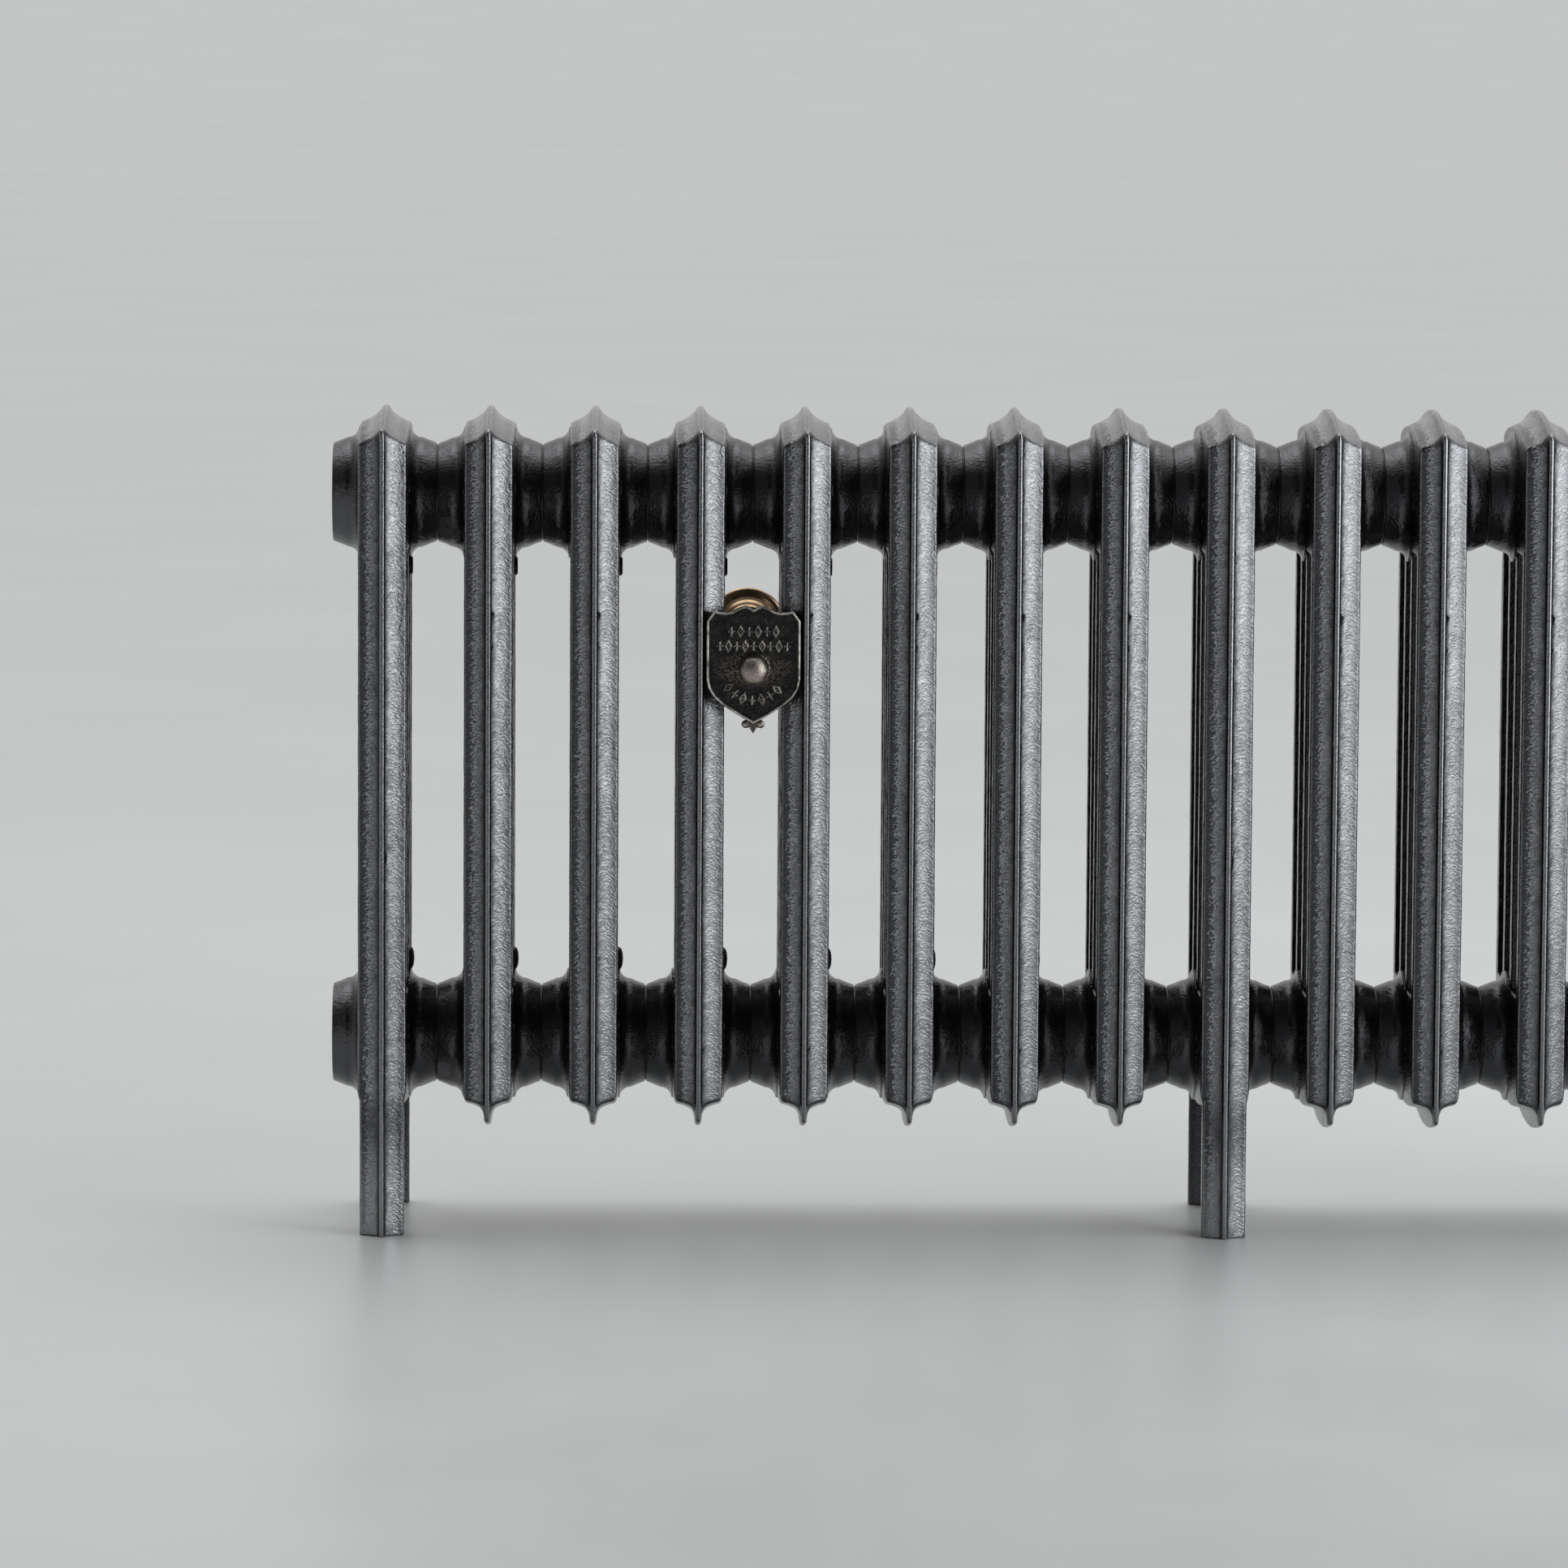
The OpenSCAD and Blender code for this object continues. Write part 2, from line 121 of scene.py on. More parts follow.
class Table:
    """A 2-D distance, to an outline or from a function, sampled once and then read bilinearly."""

    def __init__(self, shape, u, v, step=0.12):
        self.u0, self.v0, self.step = u[0], v[0], step
        us = np.arange(u[0], u[1] + step, step)
        vs = np.arange(v[0], v[1] + step, step)
        self.shape = (len(us), len(vs))
        grid = us[:, None] + 0 * vs[None, :], 0 * us[:, None] + vs[None, :]
        self.data = shape(*grid) if callable(shape) else polygon_distance(*grid, shape)

    def __call__(self, u, v):
        a = np.clip((u - self.u0) / self.step, 0, self.shape[0] - 1.001)
        b = np.clip((v - self.v0) / self.step, 0, self.shape[1] - 1.001)
        i, j = a.astype(np.int32), b.astype(np.int32)
        fa, fb = a - i, b - j
        flat = self.data.ravel()
        k = i * self.shape[1] + j
        top = flat[k] * (1 - fb) + flat[k + 1] * fb
        k = k + self.shape[1]
        return top * (1 - fa) + (flat[k] * (1 - fb) + flat[k + 1] * fb) * fa


def bowed(a, b, sag, steps):
    a, b = np.array(a), np.array(b)
    d = b - a
    n = np.array([-d[1], d[0]]) / np.hypot(*d)
    return [tuple(a + d * t + n * sag * 4 * t * (1 - t)) for t in np.arange(1, steps) / steps]


def column_table(w):
    """The outline of one column: rib, hollow facet and round bead, over one quarter."""
    h = w / 2
    rib, foot = (1.2, -h + 0.3), (1.95, -h + 2.6)
    bead = (h - 2.0, foot[1] + (h - 2.0 - foot[0]) * math.tan(math.radians(FACET_ANGLE)))
    quarter = [(0, -h)] + [(0.7, -h + 0.05), rib, (1.6, -h + 1.3), foot]
    quarter += bowed(foot, bead, 0.55, 14)
    roll = (1.5, -0.05), (0.8, 0.2), (0.3, 0.75), (0.05, 1.5), (0, 2.2)
    quarter += [bead] + [(h - x, bead[1] + y) for x, y in roll]
    right = quarter + [(x, -y) for x, y in quarter[::-1]]
    verts = right + [(-x, y) for x, y in right[::-1]]
    return Table(verts, (0, 33), (0, 17), 0.08)


COLUMN, LEG = column_table(COL_W), column_table(LEG_W)

roof_half = [
    (0, 0), (0.8, 0.08), (1.35, 0.45), (1.75, 1.1), (2.3, 2.0), (3.0, 3.0), (4.2, 4.35), (6, 5.8),
    (7.5, 6.85), (9, 7.7), (10.8, 8.55), (12.6, 9.25), (13.6, 9.6), (14.4, 10.1), (15.0, 10.9),
    (15.3, 12.2),
]
keel_half = [
    (0, 0), (1.0, 0.2), (1.6, 0.9), (1.8, 2.0), (1.9, 3.4), (2.1, 5.0), (2.6, 6.8), (3.4, 8.6), (5.2, 10.3),
    (8.5, 11.7), (12.3, 12.7), (13.2, 13.6), (13.8, 14.6), (14.6, 16.6), (15.3, 18.4),
]
side, wide, shoulder = COL_W / 2, HEAD_W / 2, COL_Y - 12
roof = [(-x, -d) for x, d in roof_half[:0:-1]] + [(x, -d) for x, d in roof_half]
ROOF = Table(roof + [(wide, -99), (-wide, -99)], (0, 33), (-60, 12))
keel = [(-x, d) for x, d in keel_half[:0:-1]] + [(x, d) for x, d in keel_half]
KEEL_T = Table(keel + [(wide, 99), (-wide, 99)], (0, 33), (-12, 60))
header = [(-side, -COL_Y), (side, -COL_Y), (wide, -shoulder), (wide, shoulder)]
header += [(side, COL_Y), (-side, COL_Y), (-wide, shoulder), (-wide, -shoulder)]
HEADER = Table(header, (0, 33), (0, 80), 0.2)
HUB_FILLET = 6.2
HUB_ROOT = HUB_R + 9.6
hub_half = [(0, HUB_FACE), (27.95, HUB_FACE), (28.1, HUB_FACE - 0.15)]
hub_half += [(29.2, 26.6), (30.2, 24.1), (31.4, 21.3)]
hub_half += [(HUB_ROOT - HUB_FILLET * math.sin(a), wide - 0.2 + HUB_FILLET * (1 - math.cos(a)))
             for a in np.radians(np.arange(82, -1, -8))]
hub = [(-r, x) for r, x in hub_half[:0:-1]] + hub_half
HUB = Table(hub + [(HUB_ROOT, -30), (-HUB_ROOT, -30)], (0, 48), (0, 34))

CORE_TOP, CORE_LOW = 377.5, 151.0
CORE_SEAT = COL_W / 2 - 0.7
FLAT_CAP_R, DOMED_CAP_R = 5.9, 7.1
WEB_GAP = COL_STEP - COL_W + 8
HEAD_TOP, HEAD_LOW = 389.6, 137.4
ARCH_TOP, ARCH_LOW = 371.0, 157.0


def section_field(x, y, z, legs):
    """Distance to one section's casting about its own middle: x along, y through the depth, z up."""
    ax, ay = np.abs(x), np.abs(y)
    col = np.minimum(COLUMN(ax, np.abs(ay - COL_Y)), COLUMN(ax, np.abs(ay - INNER_Y)))
    plan = HEADER(ax, ay)
    heads = smin(smax(plan, HEAD_TOP - z, 1.5), smax(plan, z - HEAD_LOW, 1.5), 0.5)
    body = smin(col + 0 * z, heads, 1.4)
    near = np.minimum(ay, np.abs(ay - COL_STEP))
    cut = WEB_GAP / 2 - 3.2
    for z_arch, s in ((ARCH_TOP, 1), (ARCH_LOW, -1)):
        w = np.maximum(s * (z_arch - z), s * (z - z_arch) - 21)
        w = np.maximum(np.maximum(ax - 8, near - WEB_GAP / 2), w)
        w = smax(w, cut - np.hypot(near, z - z_arch), 0.8)
        body = smin(body, w, 1.2)
    roof = ROOF(ax, np.hypot(y, z - (CREST - ARCH_R)) - ARCH_R)
    keel = KEEL_T(ax, ARCH_R - np.hypot(y, z - (KEEL + ARCH_R)))
    body = smax(smax(body, roof, 2.4), keel, 2.4)
    if legs:
        # The leg carries the outer column straight down, a little narrower below the header
        t = np.clip((z - 76) / 8, 0, 1)
        t = t * t * (3 - 2 * t)
        leg = LEG(ax, np.abs(ay - LEG_Y)) * (1 - t) + COLUMN(ax, np.abs(ay - COL_Y)) * t
        body = np.minimum(body, smax(leg, np.maximum(z - 110, -z), 0.5))
    for z0, r in ((CORE_TOP, 7.5), (CORE_LOW, 8.0)):
        boss = smax(np.hypot(y, z - z0) - r, np.maximum(x - CORE_SEAT, -9 - x), 1.0)
        body = smin(body, boss, 0.8)
    for z0 in (TOP_HUB, LOW_HUB):
        r = np.hypot(y, z - z0)
        body = smin(body, HUB(r, ax), 0.7)
        bore = np.minimum(r - (THREAD_R - 4), np.maximum(r - THREAD_R, HUB_FACE - 16 - ax))
        body = np.maximum(body, -bore)
    for z0, r in ((CORE_TOP, FLAT_CAP_R), (CORE_LOW, DOMED_CAP_R)):
        body = np.maximum(body, -np.maximum(np.hypot(y, z - z0) - r, np.abs(x - CORE_SEAT - 2) - 2))
    return body


# ---------------------------------------------------------------- noise and meshing

LATTICE = np.random.RandomState(11).rand(64, 64, 64).astype(np.float32) * 2 - 1


def noise(x, y, z, size):
    out = 0
    q = [np.asarray(c, np.float64) / size for c in (x, y, z)]
    i = [np.floor(c).astype(np.int64) for c in q]
    t = [c - k for c, k in zip(q, i)]
    t = [c * c * (3 - 2 * c) for c in t]
    for dx in (0, 1):
        for dy in (0, 1):
            for dz in (0, 1):
                w = (t[0] if dx else 1 - t[0]) * (t[1] if dy else 1 - t[1]) * (t[2] if dz else 1 - t[2])
                out = out + w * LATTICE[(i[0] + dx) & 63, (i[1] + dy) & 63, (i[2] + dz) & 63]
    return out


def surface_nets(f, xs, ys, zs):
    """Vertices and quads of the surface f = 0 on a grid whose lines may be unevenly spaced."""
    s = f < 0
    nx, ny, nz = f.shape
    count = np.zeros((nx - 1, ny - 1, nz - 1), np.int8)
    corners = [(a, b, c) for a in (0, 1) for b in (0, 1) for c in (0, 1)]
    for a, b, c in corners:
        count += s[a:nx - 1 + a, b:ny - 1 + b, c:nz - 1 + c]
    active = (count > 0) & (count < 8)
    index = np.full(active.shape, -1, np.int64)
    i, j, k = np.nonzero(active)
    index[i, j, k] = np.arange(len(i))
    total, hits = np.zeros((len(i), 3)), np.zeros(len(i))
    for p in corners:
        for axis in range(3):
            if p[axis]:
                continue
            q = list(p)
            q[axis] = 1
            fa, fb = f[i + p[0], j + p[1], k + p[2]], f[i + q[0], j + q[1], k + q[2]]
            m = (fa < 0) != (fb < 0)
            t = (fa[m] / (fa[m] - fb[m]))[:, None]
            pa = np.c_[xs[i[m] + p[0]], ys[j[m] + p[1]], zs[k[m] + p[2]]]
            pb = np.c_[xs[i[m] + q[0]], ys[j[m] + q[1]], zs[k[m] + q[2]]]
            total[m] += pa + (pb - pa) * t
            hits[m] += 1
    verts = total / hits[:, None]
    quads = []
    for axis in range(3):
        lo, hi = [slice(1, -1)] * 3, [slice(1, -1)] * 3
        lo[axis], hi[axis] = slice(None, -1), slice(1, None)
        a, b = s[tuple(lo)], s[tuple(hi)]
        e = np.array(np.nonzero(a != b))
        out = a[tuple(e)]
        other = [n for n in range(3) if n != axis]
        e[other[0]] += 1
        e[other[1]] += 1
        u, v = (axis + 1) % 3, (axis + 2) % 3
        ring = []
        for du, dv in ((1, 1), (0, 1), (0, 0), (1, 0)):
            c = e.copy()
            c[u] -= du
            c[v] -= dv
            ring.append(index[tuple(c)])
        q = np.stack(ring, 1)
        q[~out] = q[~out][:, ::-1]
        quads.append(q)
    return verts, np.vstack(quads)


def gradient(field, p, h=0.2):
    g = np.empty_like(p)
    for a in range(3):
        d = np.zeros(3)
        d[a] = h
        g[:, a] = field(p + d) - field(p - d)
    return g / (2 * h)


def settle(field, p, rounds=2, most=0.6):
    """Moves points onto the surface."""
    for _ in range(rounds):
        g = gradient(field, p)
        step = field(p)[:, None] * g / np.maximum((g * g).sum(1), 0.2)[:, None]
        far = np.linalg.norm(step, axis=1)
        step *= np.minimum(1, most / np.maximum(far, 1e-9))[:, None]
        p = p - step
    return p


def new_mesh(name, verts, faces):
    me = bpy.data.meshes.new(name)
    me.from_pydata([], [], [])
    me.vertices.add(len(verts))
    me.vertices.foreach_set("co", np.asarray(verts, np.float32).ravel())
    faces = np.asarray(faces, np.int32)
    n, w = faces.shape
    me.loops.add(n * w)
    me.loops.foreach_set("vertex_index", faces.ravel())
    me.polygons.add(n)
    me.polygons.foreach_set("loop_start", np.arange(0, n * w, w, dtype=np.int32))
    me.polygons.foreach_set("loop_total", np.full(n, w, np.int32))
    me.update(calc_edges=True)
    me.validate()
    return me


def add_object(name, me):
    ob = bpy.data.objects.new(name, me)
    bpy.context.scene.collection.objects.link(ob)
    return ob


def thinned(me, faces):
    """The mesh with about that many triangles."""
    tri = sum(len(p.vertices) - 2 for p in me.polygons)
    if tri <= faces:
        return me
    ob = add_object("thinning", me)
    mod = ob.modifiers.new("thin", "DECIMATE")
    mod.ratio = faces / tri
    mod.use_collapse_triangulate = True
    deps = bpy.context.evaluated_depsgraph_get()
    out = bpy.data.meshes.new_from_object(ob.evaluated_get(deps))
    bpy.data.objects.remove(ob)
    bpy.data.meshes.remove(me)
    return out


def coords(me):
    p = np.empty(len(me.vertices) * 3, np.float32)
    me.vertices.foreach_get("co", p)
    return p.reshape(-1, 3).astype(np.float64)


def meshed(name, field, xs, ys, zs, faces, values=None, rough=None):
    """A closed mesh of the field, in mm, thinned, with its true normals and its curvature as the edge
    attribute; values, when given, is the field already sampled on the grid.
    """
    grid = values if values is not None else field(xs[:, None, None], ys[None, :, None], zs[None, None, :])
    verts, quads = surface_nets(grid, xs, ys, zs)
    flat = (lambda p: field(p[:, 0], p[:, 1], p[:, 2])) if rough is None else (
        lambda p: field(p[:, 0], p[:, 1], p[:, 2]) - rough(p))
    verts = settle(flat, verts, 2)
    me = thinned(new_mesh(name, verts, quads), faces)
    p = settle(flat, coords(me), 1, 0.25)
    n = gradient(flat, p)
    n /= np.maximum(np.linalg.norm(n, axis=1), 1e-9)[:, None]
    edge = curvature(flat, p)
    me.vertices.foreach_set("co", (p * MM).astype(np.float32).ravel())
    me.update()
    me.polygons.foreach_set("use_smooth", np.ones(len(me.polygons), bool))
    me.normals_split_custom_set_from_vertices([tuple(v) for v in n])
    put(me, "edge", edge)
    return me, p, n


def curvature(flat, p, h=0.7):
    """Positive on outside edges and negative in hollows, per mm."""
    total = -6 * flat(p)
    for a in range(3):
        d = np.zeros(3)
        d[a] = h
        total = total + flat(p + d) + flat(p - d)
    return total / (h * h)


def put(me, name, values):
    at = me.attributes.get(name) or me.attributes.new(name, "FLOAT", "POINT")
    at.data.foreach_set("value", np.asarray(values, np.float32))


def spaced(*parts):
    """Grid lines from (start, end, step) runs laid end to end."""
    out = []
    for a, b, step in parts:
        n = max(1, round((b - a) / step))
        out += list(a + (b - a) * np.arange(n) / n)
    return np.array(out + [parts[-1][1]])


# ---------------------------------------------------------------- the sections

COARSE = 1.0


def section_mesh(name, legs, seed):
    c = COARSE
    half = spaced((0, 3, 0.6), (3, 11, 1.0 * c), (11, 16.2, 0.5), (16.2, 30.6, 0.9 * c))
    xs = np.concatenate([-half[:0:-1], half])
    ys = spaced((0, DEPTH + 1.6, 0.8 * c))
    bottom = (-1.2, 0.6, 0.3), (0.6, 54, 2.4)
    zs = spaced(*(bottom if legs else ()), (54, 100, 0.8 * c), (100, 165, 1.1 * c), (165, 362, 2.4 * c),
                (362, 395, 0.9 * c), (395, 440, 1.1 * c), (440, 471.5, 0.8 * c))
    grid = section_field(xs[:, None, None], ys[None, :, None], zs[None, None, :], legs)
    grid = np.concatenate([grid[:, :0:-1], grid], axis=1)
    ys = np.concatenate([-ys[:0:-1], ys])

    def rough(p):
        x, y, z = p[:, 0] + seed, p[:, 1], p[:, 2]
        keep = np.clip((p[:, 2] - 0.8) / 2, 0, 1) * np.clip((HUB_FACE - 0.8 - np.abs(p[:, 0])) / 2, 0, 1)
        keep *= np.clip((DEPTH - 0.35 - np.abs(p[:, 1])) / 0.4, 0.0, 1)
        keep *= np.clip((CREST - 0.3 - p[:, 2]) / 0.4, 0, 1)
        soft = 0.10 * noise(x, y, z, 9.0) + 0.07 * noise(x, y, z * 0.8, 3.1)
        soft = soft + 0.05 * noise(x, y, z, 1.7)
        return keep * (soft - 0.04)

    me, p, n = meshed(name, lambda x, y, z: section_field(x, y, z, legs), xs, ys, zs,
                      62000, values=grid, rough=rough)
    # Where the finish and the painted shade change: the hubs, how far out on its facet a point lies, the
    # rib's groove
    r = np.minimum(np.hypot(p[:, 1], p[:, 2] - TOP_HUB), np.hypot(p[:, 1], p[:, 2] - LOW_HUB))
    put(me, "hub", np.clip((np.abs(p[:, 0]) - 14.6) / 1.2, 0, 1) * (r < 40))
    across = np.abs(p[:, 0])
    put(me, "facet", np.clip((across - 2.0) / (COL_W / 2 - 3.9), 0, 1))
    put(me, "groove", np.clip(1 - np.abs(across - 2.2) / 0.9, 0, 1))
    # Painted shade: darker behind the outer facets, on side faces turned along the radiator away from the
    # hubs, in a band above the keel, and underneath
    deep = np.clip((DEPTH - 7.5 - np.abs(p[:, 1])) / 3, 0, 1) * np.clip((CREST - 20 - p[:, 2]) / 8, 0, 1)
    flank = np.clip((np.abs(n[:, 0]) - 0.72) / 0.2, 0, 1) * (r > 38)
    skirt = 0.65 * np.clip(1.3 - np.abs(p[:, 2] - KEEL - 8) / 14, 0, 1)
    under = np.clip(-2 * n[:, 2], 0, 1)
    put(me, "painted_shade_mask", np.maximum(np.maximum(deep, flank), np.maximum(skirt, under)))
    return me


# ---------------------------------------------------------------- the stays: shield plates and domed nuts

shield_lo, shield_hi = box_mm("stay_shield_left")
nut_lo, nut_hi = box_mm("stay_nut_left")
SHIELD_T = float(shield_hi[1] - shield_lo[1])
NUT_H = float(nut_hi[1] - nut_lo[1])
NUT_R = float(nut_hi[0] - nut_lo[0]) / 2
RIM, FIELD = 0.75, 1.4
ARC_R = 17.4
shield_half = [
    (0, 34.2), (2, 35.6), (4.8, 36.4), (8, 35.4), (12, 33.2), (15.5, 32.4), (19, 32.7), (22.4, 33.4),
    (26.6, 27.6), (26.6, -5.5), (25.4, -11), (22.6, -15.6), (18.2, -19.6), (12, -23.8), (5, -28),
    (0, -30.8),
]
OUTLINE = Table(shield_half + [(-x, z) for x, z in shield_half[-2:0:-1]], (0, 30), (-40, 40))
PENDANT = Table([(-2.6, -29), (2.6, -29), (2.6, -32.5), (0, -36.4), (-2.6, -32.5)], (0, 8), (-40, -24))


def lozenge(a, b):
    ring = np.abs(np.abs(a) / 1.9 + np.abs(b) / 3.4 - 0.84) * 1.45 - 0.5
    return np.minimum(ring, np.hypot(a, b) - 0.55)


def reed(a, b):
    stem = np.hypot(a, np.maximum(np.abs(b) - 2.3, 0)) - 0.6
    return np.minimum(stem, np.hypot(np.abs(a) - 1.4, b) - 0.6)


def ornament(x, z):
    """Rows of lozenges and reeds: two level rows above the nut and one curved below it."""
    places = [(5.0 * (i - 2.5), 21.6, 0.0) for i in range(6)]
    places += [(4.75 * (i - 4), 13.3, 0.0) for i in range(9)]
    for turn in np.radians(np.linspace(-55, 50, 7)):
        places.append((ARC_R * math.sin(turn), -ARC_R * math.cos(turn), turn))
    d = np.full(x.shape, 9.0)
    for i, (cx, cz, turn) in enumerate(places):
        c, s = math.cos(turn), math.sin(turn)
        a, b = (x - cx) * c + (z - cz) * s, (z - cz) * c - (x - cx) * s
        d = np.minimum(d, lozenge(a, b) if i % 2 else reed(a, b))
    return d


ORNAMENT = Table(ornament, (-26, 26), (-26, 28), 0.1)


def shield_field(x, y, z):
    """y runs from the plate's front face to its back."""
    ax = np.abs(x)
    d = OUTLINE(ax, z)
    body = smax(d, np.maximum(FIELD - y, y - SHIELD_T), 0.6)
    body = smin(body, np.hypot(d + RIM, y - RIM) - RIM, 0.5)
    body = smin(body, smax(ORNAMENT(x, z), np.maximum(FIELD - 0.5 - y, y - 2.6), 0.3), 0.3)
    r = np.hypot(x, z)
    body = smin(body, smax(r - 9.0, np.maximum(0.9 - y, y - 3), 0.6), 1.2)
    ball = (np.sqrt((np.hypot(ax - 4.2, z + 31) / 2.4) ** 2 + ((y - 1.9) / 1.6) ** 2) - 1) * 1.6
    body = smin(body, ball, 0.5)
    body = smin(body, smax(PENDANT(ax, z), np.abs(y - 2.0) - 1.2, 0.7), 0.4)
    return np.maximum(body, 5.3 - r)


def shield_mesh():
    def stipple(p):
        x, y, z = p[:, 0], p[:, 1], p[:, 2]
        zone = np.clip(1.6 - np.hypot(x / 15, z / 6.5), 0.25, 1) * (y > 0.6) * (y < 1.9)
        return 0.2 * zone * noise(x, y, z, 1.1) + 0.05 * noise(x, y, z, 2.6) - 0.05

    step = 0.42 * 1
    through = spaced((-0.5, SHIELD_T + 0.5, 0.33))
    me, p, _ = meshed("shield", shield_field, spaced((-27.3, 27.3, step)), through,
                      spaced((-37.4, 37.4, step)), 44000, rough=stipple)
    by_edge = OUTLINE(np.abs(p[:, 0]), p[:, 2]) > -2.4
    put(me, "proud", np.clip((0.75 - p[:, 1]) / 0.45, 0, 1) * by_edge)
    by_nut = np.clip(1.7 - np.hypot(p[:, 0] / 13.5, p[:, 2] / 6.2), 0, 1)
    put(me, "stipple", by_nut * (p[:, 1] > 0.7))
    put(me, "raised", np.clip((1.3 - p[:, 1]) / 0.35, 0, 1) * (np.hypot(p[:, 0], p[:, 2]) > 11))
    return me


def nut_field(x, y, z):
    """y runs from the crown, at 0, to the base."""
    h = NUT_H - y
    flats, apothem = -99, NUT_R * math.cos(math.radians(30))
    for turn in np.radians((30, 90, 150)):
        flats = smax(flats, np.abs(x * math.cos(turn) + z * math.sin(turn)) - apothem, 0.9)
    dome = (np.sqrt((np.hypot(x, z) / (NUT_R + 0.1)) ** 2 + (h / NUT_H) ** 2) - 1) * 8
    body = smax(smax(flats, dome, 1.6), -h, 0.3)
    return np.maximum(body, -np.maximum(np.hypot(x, z) - 5.05, h - 6))


def nut_mesh():
    side = spaced((-NUT_R - 0.6, NUT_R + 0.6, 0.4))
    me, p, _ = meshed("domed_nut", nut_field, side, spaced((-0.5, NUT_H + 0.5, 0.35)), side, 12000,
                      rough=lambda p: 0.05 * noise(p[:, 0], p[:, 1], p[:, 2], 1.4) - 0.05)
    put(me, "crown", np.clip(1 - p[:, 1] / NUT_H, 0, 1))
    return me


# ---------------------------------------------------------------- node helpers


class Shader:
    """A small builder for one material's node tree."""

    def __init__(self, name):
        self.mat = bpy.data.materials.new(name)
        self.mat.use_nodes = True
        self.tree = self.mat.node_tree
        self.tree.nodes.clear()
        self.out = self.tree.nodes.new("ShaderNodeOutputMaterial")
        self.bsdf = self.tree.nodes.new("ShaderNodeBsdfPrincipled")
        self.link(self.bsdf.outputs[0], self.out.inputs[0])

    def link(self, a, b):
        self.tree.links.new(a, b)

    def node(self, kind, **props):
        n = self.tree.nodes.new(kind)
        for k, v in props.items():
            setattr(n, k, v)
        return n

    def feed(self, socket, v):
        if hasattr(v, "is_output") or isinstance(v, bpy.types.NodeSocket):
            self.link(v, socket)
        elif isinstance(v, (tuple, list)):
            opaque = (1.0,) if len(v) == 3 and len(socket.default_value) == 4 else ()
            socket.default_value = tuple(v) + opaque
        else:
            socket.default_value = v

    def math(self, op, a, b=None, c=None, clamp=False):
        n = self.node("ShaderNodeMath", operation=op, use_clamp=clamp)
        for i, v in enumerate((a, b, c)):
            if v is not None:
                self.feed(n.inputs[i], v)
        return n.outputs[0]

    def mix(self, fac, a, b):
        n = self.node("ShaderNodeMix", data_type="RGBA", clamp_factor=True)
        self.feed(n.inputs[0], fac)
        self.feed(n.inputs[6], a)
        self.feed(n.inputs[7], b)
        return n.outputs[2]

    def blend(self, fac, a, b):
        n = self.node("ShaderNodeMix", data_type="FLOAT", clamp_factor=True)
        self.feed(n.inputs[0], fac)
        self.feed(n.inputs[2], a)
        self.feed(n.inputs[3], b)
        return n.outputs[0]

    def ramp(self, v, a, b, lo=0.0, hi=1.0, smooth=True):
        n = self.node("ShaderNodeMapRange", clamp=True)
        n.interpolation_type = "SMOOTHSTEP" if smooth else "LINEAR"
        for i, k in enumerate((v, a, b, lo, hi)):
            self.feed(n.inputs[i], k)
        return n.outputs[0]

    def attribute(self, name):
        n = self.node("ShaderNodeAttribute", attribute_name=name, attribute_type="GEOMETRY")
        return n.outputs["Fac"]

    def coords(self):
        """Object coordinates shifted by the object's place, so that repeated pieces differ."""
        at = self.node("ShaderNodeTexCoord").outputs["Object"]
        place = self.node("ShaderNodeObjectInfo").outputs["Location"]
        n = self.node("ShaderNodeVectorMath", operation="MULTIPLY_ADD")
        self.link(place, n.inputs[0])
        n.inputs[1].default_value = (3.7, 1.0, 1.0)
        self.link(at, n.inputs[2])
        return n.outputs[0], at

    def split(self, vector):
        n = self.node("ShaderNodeSeparateXYZ")
        self.link(vector, n.inputs[0])
        return n.outputs[0], n.outputs[1], n.outputs[2]

    def join(self, x, y, z):
        n = self.node("ShaderNodeCombineXYZ")
        for i, v in enumerate((x, y, z)):
            self.feed(n.inputs[i], v)
        return n.outputs[0]

    def noise(self, vector, scale, detail=3.0, rough=0.55, distort=0.0):
        n = self.node("ShaderNodeTexNoise")
        self.link(vector, n.inputs["Vector"])
        n.inputs["Scale"].default_value = scale
        n.inputs["Detail"].default_value = detail
        n.inputs["Roughness"].default_value = rough
        n.inputs["Distortion"].default_value = distort
        return n.outputs[0]

    def bump(self, height, strength, distance, normal=None):
        n = self.node("ShaderNodeBump")
        self.feed(n.inputs["Strength"], strength)
        n.inputs["Distance"].default_value = distance
        self.link(height, n.inputs["Height"])
        if normal is not None:
            self.link(normal, n.inputs["Normal"])
        return n.outputs[0]

    def set(self, **values):
        for k, v in values.items():
            self.feed(self.bsdf.inputs[k.replace("_", " ")], v)
        return self


